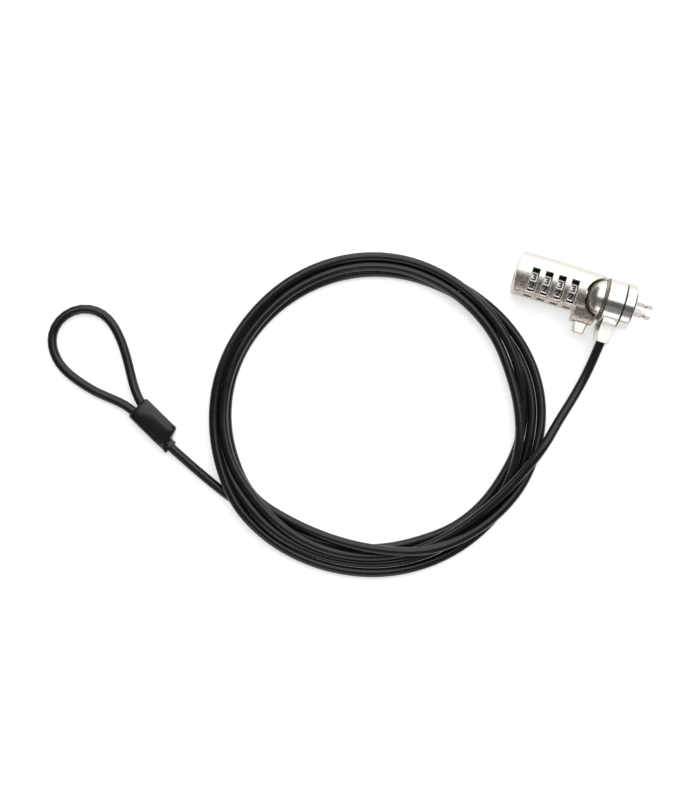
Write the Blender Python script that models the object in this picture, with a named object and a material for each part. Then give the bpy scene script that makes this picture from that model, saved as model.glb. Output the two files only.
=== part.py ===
"""Laptop cable lock: a four-dial combination lock for a 3 x 7 mm security slot, on a coiled steel cable.

The lock's axis runs along +X at y = 0, z = AXIS_Z, and its tip points to +X. The underside of the
housing, the lowest line of the swivelling head and the cable all lie on z = 0. Metres throughout.
"""
from math import cos, pi, radians, sin, sqrt

import bmesh
import bpy
from mathutils import Matrix, Vector

# ---- Driving dimensions ----
GAP = 0.0003               # left between pieces that would touch
AXIS_Z = 0.0099            # height of the head's axis, equal to its radius
HEAD_RADIUS = 0.0099

REAR_X = -0.0167           # the housing's bulged rear face
REAR_CORNER_X = -0.0152
FRONT_X = 0.0214           # tips of the two horns beside the dome
LOW_SIDE_Y = -0.0077       # the flat side with the thumb slots
HIGH_SIDE_Y = 0.0108       # the rounded side
CROWN_Z = 0.0162
SCOOP_X = 0.0227           # centre of the round scoop that frames the dome
SCOOP_RADIUS = 0.0089

DIAL_COUNT = 4
DIAL_PITCH = 0.0057
DIAL_FIRST_X = -0.0085
DIAL_Y = -0.0012
DIAL_Z = 0.0092
DIAL_RADIUS = 0.0059
DIAL_WIDTH = 0.0027
DIAL_BORE = 0.0033
DIGITS = 10
WINDOW_WIDTH = 0.0033
WINDOW_Y = (-0.0060, 0.0039)

CLUTCH_RADIUS = 0.0030
CLUTCH_BORE = 0.0023
CLUTCH_WIDTH = 0.0022
SPINDLE_RADIUS = 0.0013
SPINDLE_COLLAR = 0.0020
SPINDLE_X = (-0.0134, 0.0109)

DOME_X = 0.0214            # flat face of the dome, where the neck starts
DOME_LENGTH = 0.0067
DOME_RADIUS = 0.0083
SHANK_RADIUS = 0.0032
SHANK_X = 0.0131
NECK_RADIUS = 0.0062
NECK_FRONT_X = 0.0331
COLLAR_X = (0.0227, 0.0300)
CAP_X = (0.0304, 0.0353)

PRONG_X = (0.0249, 0.0433)
PRONG_Y = 0.00225          # each prong's centre plane, either side of the axis
PRONG_THICKNESS = 0.0016
PRONG_ROOT_Y = 0.0036      # outer side of the thicker root inside the neck
PRONG_ROOT_X = 0.0320
PRONG_PIN_Y = 0.0025
PRONG_HALF_HEIGHT = 0.00125
NOTCH_X = 0.0403           # grips the edge of the security slot
NOTCH_WIDTH = 0.0010
NOTCH_DEPTH = 0.0005
HOOK_PIVOT_X = 0.0263
WEDGE_TIP_X = 0.0415

BUTTON_X = 0.0161
BUTTON_Z = 0.0080
BUTTON_END_Y = -0.0168
BUTTON_INNER_Y = -0.0109
BUTTON_HALF_WIDTH = 0.0028
BUTTON_END_HALF_WIDTH = 0.0023
BUTTON_HALF_HEIGHT = 0.0024
BUTTON_BORE_Y = (-0.0140, -0.0088)
RESET_BORE_RADIUS = 0.0022
RIVET_RADIUS = 0.0005
RIVET_HOLE_RADIUS = 0.0007
STEM_X = 0.0172
STEM_RADIUS = 0.0009
BOSS_Y = -0.0120

COVER_X = (-0.0140, 0.0104)
COVER_Y = (-0.0060, 0.0088)
COVER_THICKNESS = 0.0014
SCREW_PLACES = ((-0.0112, 0.0070), (0.0076, 0.0070))

CABLE_RADIUS = 0.0020
MOUTH = Vector((0.0271, -0.0174, 0.0068))        # middle of the lug's mouth
CABLE_OUT = Vector((-0.12, -0.97, -0.20)).normalized()
COIL_CENTRE = (-0.0545, -0.0742)
COIL_RADII = (0.0570, 0.0694)
COIL_HEIGHT = 0.0095
SLEEVE_START = Vector((-0.1531, -0.1002, 0.0035))
SLEEVE_DIRECTION = Vector((0.8846, -0.4664, 0.0)).normalized()
SLEEVE_LENGTH = 0.0220
SLEEVE_HALF_WIDTH = 0.0056
SLEEVE_HALF_HEIGHT = 0.0035
NOZZLE_HALF_WIDTH = 0.0032
NOZZLE_ASIDE = -0.0023     # the nozzle where the cable comes in stands to one side

# Routes of the cable's free stretches, from the lock to the loop.
LEAD_ROUTE = (
    (0.02692, -0.01595, 0.00710),
    (0.02640, -0.02300, 0.00530),
    (0.02540, -0.03100, 0.00330),
    (0.02340, -0.04100, 0.00225),
    (0.02050, -0.05200, 0.00225),
    (0.01650, -0.06380, 0.00330),
)
TAIL_ROUTE = (
    (-0.10545, -0.12480, 0.00205),
    (-0.11200, -0.12260, 0.00205),
    (-0.11850, -0.11990, 0.00205),
    (-0.12450, -0.11720, 0.00225),
    (-0.12930, -0.11490, 0.00290),
    (-0.13400, -0.11250, 0.00350),
)
EYE_ROUTE = (
    (-0.15275, -0.09760, 0.00350),
    (-0.15565, -0.09405, 0.00290),
    (-0.15920, -0.08880, 0.00215),
    (-0.16330, -0.08210, 0.00205),
    (-0.16820, -0.07510, 0.00205),
    (-0.17400, -0.06950, 0.00205),
    (-0.18100, -0.06650, 0.00205),
    (-0.18820, -0.06740, 0.00205),
    (-0.19370, -0.07180, 0.00205),
    (-0.19640, -0.07850, 0.00205),
    (-0.19500, -0.08590, 0.00205),
    (-0.19010, -0.09220, 0.00205),
    (-0.18300, -0.09590, 0.00205),
    (-0.17500, -0.09850, 0.00205),
    (-0.16750, -0.09990, 0.00205),
    (-0.16080, -0.10060, 0.00250),
    (-0.15560, -0.10190, 0.00340),
)

# ---- Materials: base colour, metallic, roughness ----
FINISHES = {
    "satin_nickel": ((0.62, 0.58, 0.54), 1.0, 0.34),
    "polished_chrome": ((0.78, 0.77, 0.74), 1.0, 0.10),
    "wheel_metal": ((0.60, 0.59, 0.58), 1.0, 0.32),
    "inner_steel": ((0.50, 0.50, 0.52), 1.0, 0.35),
    "spring_steel": ((0.42, 0.43, 0.46), 1.0, 0.30),
    "brass": ((0.72, 0.53, 0.25), 1.0, 0.32),
    "vinyl_black": ((0.012, 0.012, 0.014), 0.0, 0.28),
    "crimp_aluminium": ((0.70, 0.71, 0.72), 1.0, 0.38),
}

# ---- Bodies: each moving body's empty stands on its joint's axis ----
DIAL_XS = tuple(DIAL_FIRST_X + i * DIAL_PITCH for i in range(DIAL_COUNT))
BODY_POINTS = {
    "cable_end": (0.0, 0.0, 0.0),
    "lock_body": (0.0264, 0.0, AXIS_Z),
    "button": (BUTTON_X, BUTTON_END_Y, BUTTON_Z),
    "bolt": (0.0, 0.0, AXIS_Z),
    "hook": (HOOK_PIVOT_X, PRONG_PIN_Y, AXIS_Z),
    "code_reset": (REAR_X, DIAL_Y, DIAL_Z),
}
BODY_POINTS.update({f"dial_{i + 1}_body": (x, DIAL_Y, DIAL_Z) for i, x in enumerate(DIAL_XS)})

ALONG_X = Matrix(((0, 0, 1), (1, 0, 0), (0, 1, 0)))      # turns (a, b, c) into (c, a, b): c runs along X
ALONG_Y = Matrix(((1, 0, 0), (0, 0, 1), (0, 1, 0)))      # turns (a, b, c) into (a, c, b): c runs along Y
ALONG_Z = Matrix.Identity(3)

materials = {}
empties = {}


def clear_scene():
    for obj in list(bpy.data.objects):
        bpy.data.objects.remove(obj, do_unlink=True)


def make_materials():
    for name, (colour, metallic, roughness) in FINISHES.items():
        material = bpy.data.materials.new(name)
        material.use_nodes = True
        shader = material.node_tree.nodes["Principled BSDF"]
        shader.inputs["Base Color"].default_value = (*colour, 1.0)
        shader.inputs["Metallic"].default_value = metallic
        shader.inputs["Roughness"].default_value = roughness
        materials[name] = material


def make_empties():
    for name, point in BODY_POINTS.items():
        empty = bpy.data.objects.new(f"{name}_axis", None)
        empty.location = point
        empty.empty_display_size = 0.005
        bpy.context.scene.collection.objects.link(empty)
        empties[name] = empty


# ---- Shapes: each returns a bmesh in world coordinates ----
def prism(outline, low, high, turn=ALONG_Z):
    """A closed outline of (a, b) points, extruded from low to high along the axis that turn gives."""
    shape = bmesh.new()
    bottom = [shape.verts.new(turn @ Vector((a, b, low))) for a, b in outline]
    top = [shape.verts.new(turn @ Vector((a, b, high))) for a, b in outline]
    shape.faces.new(bottom)
    shape.faces.new(top)
    for i in range(len(outline)):
        j = (i + 1) % len(outline)
        shape.faces.new((bottom[i], bottom[j], top[j], top[i]))
    return shape


def box(x, y, z):
    return prism(((x[0], y[0]), (x[1], y[0]), (x[1], y[1]), (x[0], y[1])), z[0], z[1])


def turned(profile, centre, turn=ALONG_X, sides=40):
    """A closed profile of (position, radius) points, turned round an axis through centre."""
    shape = bmesh.new()
    rings = []
    for position, radius in profile:
        if radius < 1e-7:
            rings.append([shape.verts.new(Vector(centre) + turn @ Vector((0, 0, position)))])
            continue
        angles = [2 * pi * (i + 0.5) / sides for i in range(sides)]
        ring = [turn @ Vector((radius * cos(a), radius * sin(a), position)) for a in angles]
        rings.append([shape.verts.new(Vector(centre) + point) for point in ring])
    for near, far in zip(rings, rings[1:] + rings[:1]):
        if len(near) == 1 and len(far) == 1:
            continue
        for i in range(sides):
            j = i + 1
            corners = [near[i % len(near)], near[j % len(near)], far[j % len(far)], far[i % len(far)]]
            shape.faces.new(list(dict.fromkeys(corners)))
    return shape


def rod(centre, start, end, radius, turn=ALONG_X, sides=24):
    return turned(((start, 0), (start, radius), (end, radius), (end, 0)), centre, turn, sides)


def tube(centre, start, end, outer, inner, turn=ALONG_X, sides=40):
    return turned(((start, inner), (start, outer), (end, outer), (end, inner)), centre, turn, sides)


def loft(sections):
    """Sections with equal numbers of points, joined in order and closed at both ends."""
    shape = bmesh.new()
    rings = [[shape.verts.new(point) for point in section] for section in sections]
    shape.faces.new(rings[0])
    shape.faces.new(rings[-1])
    for near, far in zip(rings, rings[1:]):
        for i in range(len(near)):
            j = (i + 1) % len(near)
            shape.faces.new((near[i], near[j], far[j], far[i]))
    return shape


def rounded_rectangle(half_width, half_height, radius, steps=3):
    """Points of a rectangle with round corners, anticlockwise, about (0, 0)."""
    points = []
    corners = ((1, 1, 0), (-1, 1, 90), (-1, -1, 180), (1, -1, 270))
    for sign_a, sign_b, start in corners:
        for step in range(steps + 1):
            angle = radians(start + 90 * step / steps)
            a = sign_a * (half_width - radius) + radius * cos(angle)
            b = sign_b * (half_height - radius) + radius * sin(angle)
            points.append((a, b))
    return points


def joined(shapes):
    """Several separate bodies in one bmesh, for a cutter."""
    whole = bmesh.new()
    for shape in shapes:
        mesh = bpy.data.meshes.new("piece")
        shape.to_mesh(mesh)
        shape.free()
        whole.from_mesh(mesh)
        bpy.data.meshes.remove(mesh)
    return whole


# ---- Objects ----
def mesh_of(name, shape):
    bmesh.ops.recalc_face_normals(shape, faces=shape.faces)
    mesh = bpy.data.meshes.new(name)
    shape.to_mesh(mesh)
    shape.free()
    mesh.shade_smooth()
    mesh.set_sharp_from_angle(angle=radians(30))
    return mesh


def add(name, shape, finish, body):
    """One sub-part: its mesh stands about its body's empty, which is on the joint's axis."""
    bmesh.ops.translate(shape, verts=shape.verts, vec=-Vector(BODY_POINTS[body]))
    obj = bpy.data.objects.new(name, mesh_of(name, shape))
    obj.data.materials.append(materials[finish])
    obj.parent = empties[body]
    bpy.context.scene.collection.objects.link(obj)
    return obj


def helper(name, shape):
    obj = bpy.data.objects.new(name, mesh_of(name, shape))
    obj.hide_render = True
    obj.display_type = "WIRE"
    bpy.context.scene.collection.objects.link(obj)
    return obj


def combine(obj, operation, name, shape):
    modifier = obj.modifiers.new(name, "BOOLEAN")
    modifier.operation = operation
    modifier.solver = "EXACT"
    modifier.object = helper(f"{obj.name}_{name}", shape)


def cut(obj, name, shape):
    combine(obj, "DIFFERENCE", name, shape)


def smooth_route(route, spacing):
    """Points about spacing apart on a smooth curve through the route's own points."""
    knots = [Vector(p) for p in route]
    knots = [2 * knots[0] - knots[1]] + knots + [2 * knots[-1] - knots[-2]]
    points = []
    for before, start, end, after in zip(knots, knots[1:], knots[2:], knots[3:]):
        steps = max(1, round((end - start).length / spacing))
        for i in range(steps):
            t = i / steps
            points.append(0.5 * (
                2 * start + (end - before) * t
                + (2 * before - 5 * start + 4 * end - after) * t ** 2
                + (3 * start - before - 3 * end + after) * t ** 3))
    return points + [Vector(route[-1])]


def add_wire(name, points, radius, finish, body, resolution=2):
    """A round wire along points, as a curve with closed ends."""
    curve = bpy.data.curves.new(name, "CURVE")
    curve.dimensions = "3D"
    curve.bevel_depth = radius
    curve.bevel_resolution = resolution
    curve.use_fill_caps = True
    spline = curve.splines.new("POLY")
    spline.points.add(len(points) - 1)
    for place, point in zip(spline.points, points):
        place.co = (*(point - Vector(BODY_POINTS[body])), 1.0)
    obj = bpy.data.objects.new(name, curve)
    curve.materials.append(materials[finish])
    obj.parent = empties[body]
    bpy.context.scene.collection.objects.link(obj)
    return obj


def helix(centre, start, end, radius, turns, turn):
    """Points of a coil spring, twelve to a turn."""
    count = round(12 * turns)
    points = []
    for i in range(count + 1):
        angle = 2 * pi * i / 12
        along = start + (end - start) * i / count
        points.append(Vector(centre) + turn @ Vector((radius * cos(angle), radius * sin(angle), along)))
    return points


# ---- The lock's housing ----
def housing_section():
    """The housing across the axis, as (y, z): a flat side, a crowned face and a round side."""
    return [
        (LOW_SIDE_Y, 0.0007), (LOW_SIDE_Y + 0.0007, 0.0), (HIGH_SIDE_Y - 0.0020, 0.0),
        (HIGH_SIDE_Y - 0.0007, 0.0010), (HIGH_SIDE_Y - 0.0001, 0.0040), (HIGH_SIDE_Y, 0.0080),
        (HIGH_SIDE_Y - 0.0006, 0.0108), (HIGH_SIDE_Y - 0.0021, 0.0133), (HIGH_SIDE_Y - 0.0046, 0.0151),
        (0.0030, CROWN_Z - 0.0001), (0.0008, CROWN_Z), (-0.0018, CROWN_Z - 0.0006),
        (-0.0045, CROWN_Z - 0.0019), (-0.0064, 0.0131), (LOW_SIDE_Y + 0.0003, 0.0122), (LOW_SIDE_Y, 0.0112),
    ]


def housing_plan():
    """The housing from above, as (x, y): a bulged rear end and a long arched side."""
    middle = (LOW_SIDE_Y + HIGH_SIDE_Y) / 2
    half = (HIGH_SIDE_Y - LOW_SIDE_Y) / 2
    sag = REAR_CORNER_X - REAR_X
    radius = (half ** 2 + sag ** 2) / (2 * sag)
    rear = []
    for step in range(9):
        y = middle + half - 2 * half * step / 8
        rear.append((REAR_X + radius - sqrt(radius ** 2 - (y - middle) ** 2), y))
    rear[0] = (rear[0][0] + 0.0002, rear[0][1] - 0.0009)
    low = [(REAR_CORNER_X, LOW_SIDE_Y - 0.001), (FRONT_X, LOW_SIDE_Y - 0.001)]
    high = [(FRONT_X, 0.0100), (0.0195, 0.0104), (0.0120, 0.0107), (0.0, 0.0109), (-0.0080, 0.0107)]
    return rear + low + high


def make_housing():
    housing = add("housing", prism(housing_section(), REAR_X - 0.002, FRONT_X + 0.002, ALONG_X),
                  "satin_nickel", "lock_body")
    combine(housing, "INTERSECT", "plan", prism(housing_plan(), -0.001, 0.020))
    boss_x = (0.0124, 0.0209)
    boss = [(-0.0060, 0.0016), (BOSS_Y + 0.0005, 0.0016), (BOSS_Y, 0.0022), (BOSS_Y, 0.0116),
            (BOSS_Y + 0.0008, 0.0124), (-0.0060, 0.0131)]
    combine(housing, "UNION", "boss", prism(boss, boss_x[0], boss_x[1], ALONG_X))
    cut(housing, "scoop", rod((SCOOP_X, 0, 0), -0.001, 0.020, SCOOP_RADIUS, ALONG_Z, 48))
    chamber = [(-0.0068, 0.0010), (-0.0068, 0.0112), (-0.0050, 0.0130), (-0.0010, 0.0143), (0.0050, 0.0143),
               (0.0050, 0.0010)]
    cut(housing, "chamber", prism(chamber, -0.0122, 0.0110, ALONG_X))
    recess = (GAP, COVER_THICKNESS + GAP)
    cut(housing, "cover_recess", box((COVER_X[0] - GAP, COVER_X[1] + GAP),
                                     (COVER_Y[0] - GAP, COVER_Y[1] + GAP), (-0.001, recess[1])))
    half = WINDOW_WIDTH / 2
    windows = [box((x - half, x + half), WINDOW_Y, (0.0105, 0.0180)) for x in DIAL_XS]
    cut(housing, "windows", joined(windows))
    pockets = [rod((0, DIAL_Y, DIAL_Z), x - half, x + half, DIAL_RADIUS + GAP, ALONG_X, 36) for x in DIAL_XS]
    cut(housing, "dial_pockets", joined(pockets))
    slots = [box((x - half, x + half), (-0.0090, -0.0060), (0.0058, 0.0098)) for x in DIAL_XS]
    cut(housing, "thumb_slots", joined(slots))
    cut(housing, "shank_bore", rod((0, 0, AXIS_Z), 0.0100, 0.0160, SHANK_RADIUS + GAP))
    cut(housing, "reset_bore", rod((0, DIAL_Y, DIAL_Z), REAR_X - 0.002, -0.0110, RESET_BORE_RADIUS))
    bore_half_width = BUTTON_HALF_WIDTH + GAP
    bore_half_height = BUTTON_HALF_HEIGHT + GAP
    cut(housing, "button_bore", box((BUTTON_X - bore_half_width, BUTTON_X + bore_half_width), BUTTON_BORE_Y,
                                    (BUTTON_Z - bore_half_height, BUTTON_Z + bore_half_height)))
    cut(housing, "stem_bore", rod((STEM_X, 0, BUTTON_Z), -0.0092, -0.0040, STEM_RADIUS + GAP, ALONG_Y))
    holes = [rod((x, y, 0), 0.0010, 0.0068, 0.0011, ALONG_Z, 16) for x, y in SCREW_PLACES]
    cut(housing, "screw_holes", joined(holes))


def make_base_cover():
    middle = ((COVER_X[0] + COVER_X[1]) / 2, (COVER_Y[0] + COVER_Y[1]) / 2)
    outline = rounded_rectangle((COVER_X[1] - COVER_X[0]) / 2, (COVER_Y[1] - COVER_Y[0]) / 2, 0.0006, 2)
    outline = [(middle[0] + a, middle[1] + b) for a, b in outline]
    cover = add("base_cover", prism(outline, 0.0, COVER_THICKNESS), "satin_nickel", "lock_body")
    shanks = [rod((x, y, 0), -0.001, 0.003, 0.0011, ALONG_Z, 16) for x, y in SCREW_PLACES]
    cut(cover, "shank_holes", joined(shanks))
    heads = [rod((x, y, 0), -0.001, 0.0009, 0.0018, ALONG_Z, 20) for x, y in SCREW_PLACES]
    cut(cover, "head_recesses", joined(heads))
    for number, (x, y) in enumerate(SCREW_PLACES, 1):
        profile = ((0.0001, 0), (0.0001, 0.0012), (0.0003, 0.0015), (0.0006, 0.0015),
                   (0.0006, 0.0008), (0.0062, 0.0008), (0.0065, 0.0005), (0.0065, 0))
        screw = add(f"cover_screw_{number}", turned(profile, (x, y, 0), ALONG_Z, 20), "inner_steel", "lock_body")
        cut(screw, "driver_slot", box((x - 0.002, x + 0.002), (y - 0.0002, y + 0.0002), (-0.001, 0.0004)))


def make_code_reset_screw():
    centre = (0, DIAL_Y, DIAL_Z)
    profile = ((-0.0163, 0), (-0.0163, 0.0017), (-0.0161, 0.0019), (-0.0141, 0.0019), (-0.0141, 0))
    screw = add("code_reset_screw", turned(profile, centre, ALONG_X, 28), "inner_steel", "code_reset")
    cut(screw, "driver_slot", box((-0.0180, -0.0156), (DIAL_Y - 0.0003, DIAL_Y + 0.0003),
                                  (DIAL_Z - 0.003, DIAL_Z + 0.003)))


# ---- The dials and what they turn on ----
def dial_outline():
    """A wheel's rim: ten lands that carry the digits, with a fine groove between each two."""
    points = []
    for digit in range(DIGITS):
        middle = 360 / DIGITS * digit
        for offset in (-15.5, -8, 0, 8, 15.5):
            angle = radians(middle + offset)
            points.append((DIAL_RADIUS * cos(angle), DIAL_RADIUS * sin(angle)))
        angle = radians(middle + 18)
        points.append(((DIAL_RADIUS - 0.0003) * cos(angle), (DIAL_RADIUS - 0.0003) * sin(angle)))
    return [(DIAL_Y + a, DIAL_Z + b) for a, b in points]


def make_dials():
    half = DIAL_WIDTH / 2
    for number, x in enumerate(DIAL_XS, 1):
        body = f"dial_{number}_body"
        dial = add(f"dial_{number}", prism(dial_outline(), x - half, x + half, ALONG_X), "wheel_metal", body)
        cut(dial, "bore", rod((0, DIAL_Y, DIAL_Z), x - 0.003, x + 0.003, DIAL_BORE, ALONG_X, 30))
        half = CLUTCH_WIDTH / 2
        sleeve = tube((x, DIAL_Y, DIAL_Z), -half, half, CLUTCH_RADIUS, CLUTCH_BORE, ALONG_X, 30)
        clutch = add(f"dial_clutch_{number}", sleeve, "brass", body)
        gate = box((x - 0.002, x + 0.002), (DIAL_Y - 0.0005, DIAL_Y + 0.0005), (0.0, DIAL_Z - 0.0018))
        cut(clutch, "gate", gate)


def make_spindle():
    """The rod through the dials, with a collar in each gap between two clutch sleeves."""
    start, end = SPINDLE_X
    profile = [(start, 0), (start, SPINDLE_RADIUS)]
    for x in DIAL_XS:
        middle = x - DIAL_PITCH / 2
        profile += [(middle - 0.0003, SPINDLE_RADIUS), (middle - 0.0003, SPINDLE_COLLAR),
                    (middle + 0.0003, SPINDLE_COLLAR), (middle + 0.0003, SPINDLE_RADIUS)]
    profile += [(end, SPINDLE_RADIUS), (end, 0)]
    add("spindle", turned(profile, (0, DIAL_Y, DIAL_Z), ALONG_X, 24), "inner_steel", "bolt")


def make_dial_detent_spring():
    """A comb of four leaf fingers under the dials, each with a rounded end that clicks into the grooves."""
    low = COVER_THICKNESS + GAP
    bump = DIAL_Y
    leaf = [(0.0045, low), (0.0045, low + 0.0003), (bump + 0.0013, low + 0.0003), (bump + 0.0005, low + 0.0010),
            (bump, low + 0.0012), (bump - 0.0005, low + 0.0010), (bump - 0.0013, low + 0.0003),
            (bump - 0.0019, low + 0.0003), (bump - 0.0019, low), (bump - 0.0011, low), (bump - 0.0003, low + 0.0007),
            (bump, low + 0.0009), (bump + 0.0003, low + 0.0007), (bump + 0.0011, low)]
    spring = add("dial_detent_spring", prism(leaf, -0.0102, 0.0104, ALONG_X), "spring_steel", "lock_body")
    gaps = [box((x + 0.0011, x + DIAL_PITCH - 0.0011), (-0.0050, 0.0030), (0.0, 0.0050)) for x in DIAL_XS[:-1]]
    cut(spring, "finger_gaps", joined(gaps))


# ---- The head ----
def make_head_core():
    """Dome, neck and shank in one turned piece, bored for the bolt and the prongs."""
    dome = []
    for step in range(9):
        radius = SHANK_RADIUS + (DOME_RADIUS - SHANK_RADIUS) * sin(radians(90 * step / 8))
        dome.append((DOME_X - DOME_LENGTH * sqrt(max(0.0, 1 - (radius / DOME_RADIUS) ** 2)), radius))
    profile = [(SHANK_X, 0.0016), (SHANK_X, SHANK_RADIUS)] + dome + [
        (DOME_X, NECK_RADIUS), (NECK_FRONT_X, NECK_RADIUS), (NECK_FRONT_X, 0.0047),
        (0.0229, 0.0047), (0.0229, 0.0034), (0.0165, 0.0034), (0.0165, 0.0016)]
    core = add("head_core", turned(profile, (0, 0, AXIS_Z), ALONG_X, 48), "polished_chrome", "lock_body")
    cut(core, "stem_hole", rod((STEM_X, 0, BUTTON_Z), -0.0100, -0.0010, STEM_RADIUS + GAP, ALONG_Y, 16))
    sides = (-PRONG_PIN_Y, PRONG_PIN_Y)
    pins = [rod((HOOK_PIVOT_X, y, AXIS_Z), -0.008, 0.008, 0.0008, ALONG_Z, 16) for y in sides]
    cut(core, "pin_holes", joined(pins))
    cut(core, "cap_pin_hole", rod((0.0320, 0, AXIS_Z), -0.0080, -0.0030, 0.0010, ALONG_Z, 16))


def make_front_cap():
    profile = ((CAP_X[0], NECK_RADIUS + GAP), (CAP_X[0], HEAD_RADIUS - 0.0002), (CAP_X[0] + 0.0002, HEAD_RADIUS),
               (CAP_X[1] - 0.0012, HEAD_RADIUS), (CAP_X[1] - 0.0004, HEAD_RADIUS - 0.0004),
               (CAP_X[1], HEAD_RADIUS - 0.0013), (CAP_X[1], 0), (NECK_FRONT_X + GAP, 0),
               (NECK_FRONT_X + GAP, NECK_RADIUS + GAP))
    cap = add("front_cap", turned(profile, (0, 0, AXIS_Z), ALONG_X, 48), "polished_chrome", "lock_body")
    cut(cap, "prong_window", box((0.0330, 0.0360), (-0.0034, 0.0041), (AXIS_Z - 0.0016, AXIS_Z + 0.0016)))
    cut(cap, "cap_pin_hole", rod((0.0320, 0, AXIS_Z), -0.0110, -0.0050, 0.0010, ALONG_Z, 16))
    add("cap_pin", rod((0.0320, 0, AXIS_Z), -0.0093, -0.0051, 0.0007, ALONG_Z, 16), "inner_steel", "lock_body")


def prong_outline(sign):
    """A prong from above, as (x, y), on the side of the axis that sign gives."""
    inner = sign * (PRONG_Y - PRONG_THICKNESS / 2)
    outer = sign * (PRONG_Y + PRONG_THICKNESS / 2)
    notch = outer - sign * NOTCH_DEPTH
    half = NOTCH_WIDTH / 2
    return [(PRONG_X[0], inner), (PRONG_X[1] - 0.0002, inner), (PRONG_X[1], inner + sign * 0.0002),
            (PRONG_X[1], outer - sign * 0.0004), (PRONG_X[1] - 0.0004, outer),
            (NOTCH_X + half, outer), (NOTCH_X + half, notch), (NOTCH_X - half, notch), (NOTCH_X - half, outer),
            (PRONG_ROOT_X + 0.0006, outer), (PRONG_ROOT_X, sign * PRONG_ROOT_Y),
            (PRONG_X[0] + 0.0004, sign * PRONG_ROOT_Y), (PRONG_X[0], sign * (PRONG_ROOT_Y - 0.0004))]


def make_prongs():
    """The tip: a fixed prong, and a hook arm that swings away from it."""
    height = (AXIS_Z - PRONG_HALF_HEIGHT, AXIS_Z + PRONG_HALF_HEIGHT)
    fixed = add("fixed_prong", prism(prong_outline(-1), *height), "polished_chrome", "lock_body")
    hook = add("hook_arm", prism(prong_outline(1), *height), "polished_chrome", "hook")
    for prong, name, y in ((fixed, "rivet_hole", -PRONG_PIN_Y), (hook, "pivot_hole", PRONG_PIN_Y)):
        cut(prong, name, rod((HOOK_PIVOT_X, y, AXIS_Z), -0.003, 0.003, RIVET_HOLE_RADIUS, ALONG_Z, 16))
        for face, z in zip(("lower", "upper"), height):
            cut(prong, f"{face}_notch", rod((NOTCH_X, 0, z), -0.005, 0.005, NOTCH_WIDTH / 2, ALONG_Y, 16))
    for name, y in (("prong_rivet", -PRONG_PIN_Y), ("hook_pivot_pin", PRONG_PIN_Y)):
        pin = rod((HOOK_PIVOT_X, y, AXIS_Z), -0.0054, 0.0054, RIVET_RADIUS, ALONG_Z, 16)
        add(name, pin, "inner_steel", "lock_body")


def make_bolt():
    """What the button drives along the axis: the yoke, its spring, and the wedge that spreads the hook arm."""
    yoke = ((0.0112, 0), (0.0112, 0.0013), (0.0183, 0.0013), (0.0201, 0.0031), (0.0212, 0.0031), (0.0212, 0))
    add("bolt_yoke", turned(yoke, (0, 0, AXIS_Z), ALONG_X, 28), "inner_steel", "bolt")
    half = 0.00115
    outline = [(0.0215, -half), (WEDGE_TIP_X, -half), (WEDGE_TIP_X, -0.0007), (0.0345, half), (0.0215, half)]
    add("locking_wedge", prism(outline, AXIS_Z - 0.0009, AXIS_Z + 0.0009), "inner_steel", "bolt")
    wire = helix((0, 0, AXIS_Z), 0.02335, 0.02445, 0.0026, 2.5, ALONG_X)
    add_wire("bolt_spring", wire, 0.00015, "spring_steel", "lock_body")


def make_release_button():
    """The push button: a rounded tab outside, and a stem whose nose pushes the bolt's cone."""
    outer, inner = BUTTON_END_Y, BUTTON_INNER_Y
    wide, narrow = BUTTON_HALF_WIDTH, BUTTON_END_HALF_WIDTH
    corner = 0.0007
    half_plan = [(wide, inner), (wide, BOSS_Y - 0.0006), (narrow, outer + corner), (narrow - corner, outer)]
    plan = [(BUTTON_X - a, y) for a, y in half_plan] + [(BUTTON_X + a, y) for a, y in reversed(half_plan)]
    body = prism(plan, BUTTON_Z - BUTTON_HALF_HEIGHT, BUTTON_Z + BUTTON_HALF_HEIGHT)
    button = add("release_button", body, "polished_chrome", "button")
    profile = ((-0.0120, 0), (-0.0120, STEM_RADIUS), (-0.0041, STEM_RADIUS), (-0.0036, 0.0004), (-0.0036, 0))
    combine(button, "UNION", "stem", turned(profile, (STEM_X, 0, BUTTON_Z), ALONG_Y, 16))


def lug_section(y, centre_x, half_width, centre_z, half_height):
    outline = rounded_rectangle(half_width, half_height, 0.0018, 3)
    return [(centre_x + a, y, centre_z + b) for a, b in outline]


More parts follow.
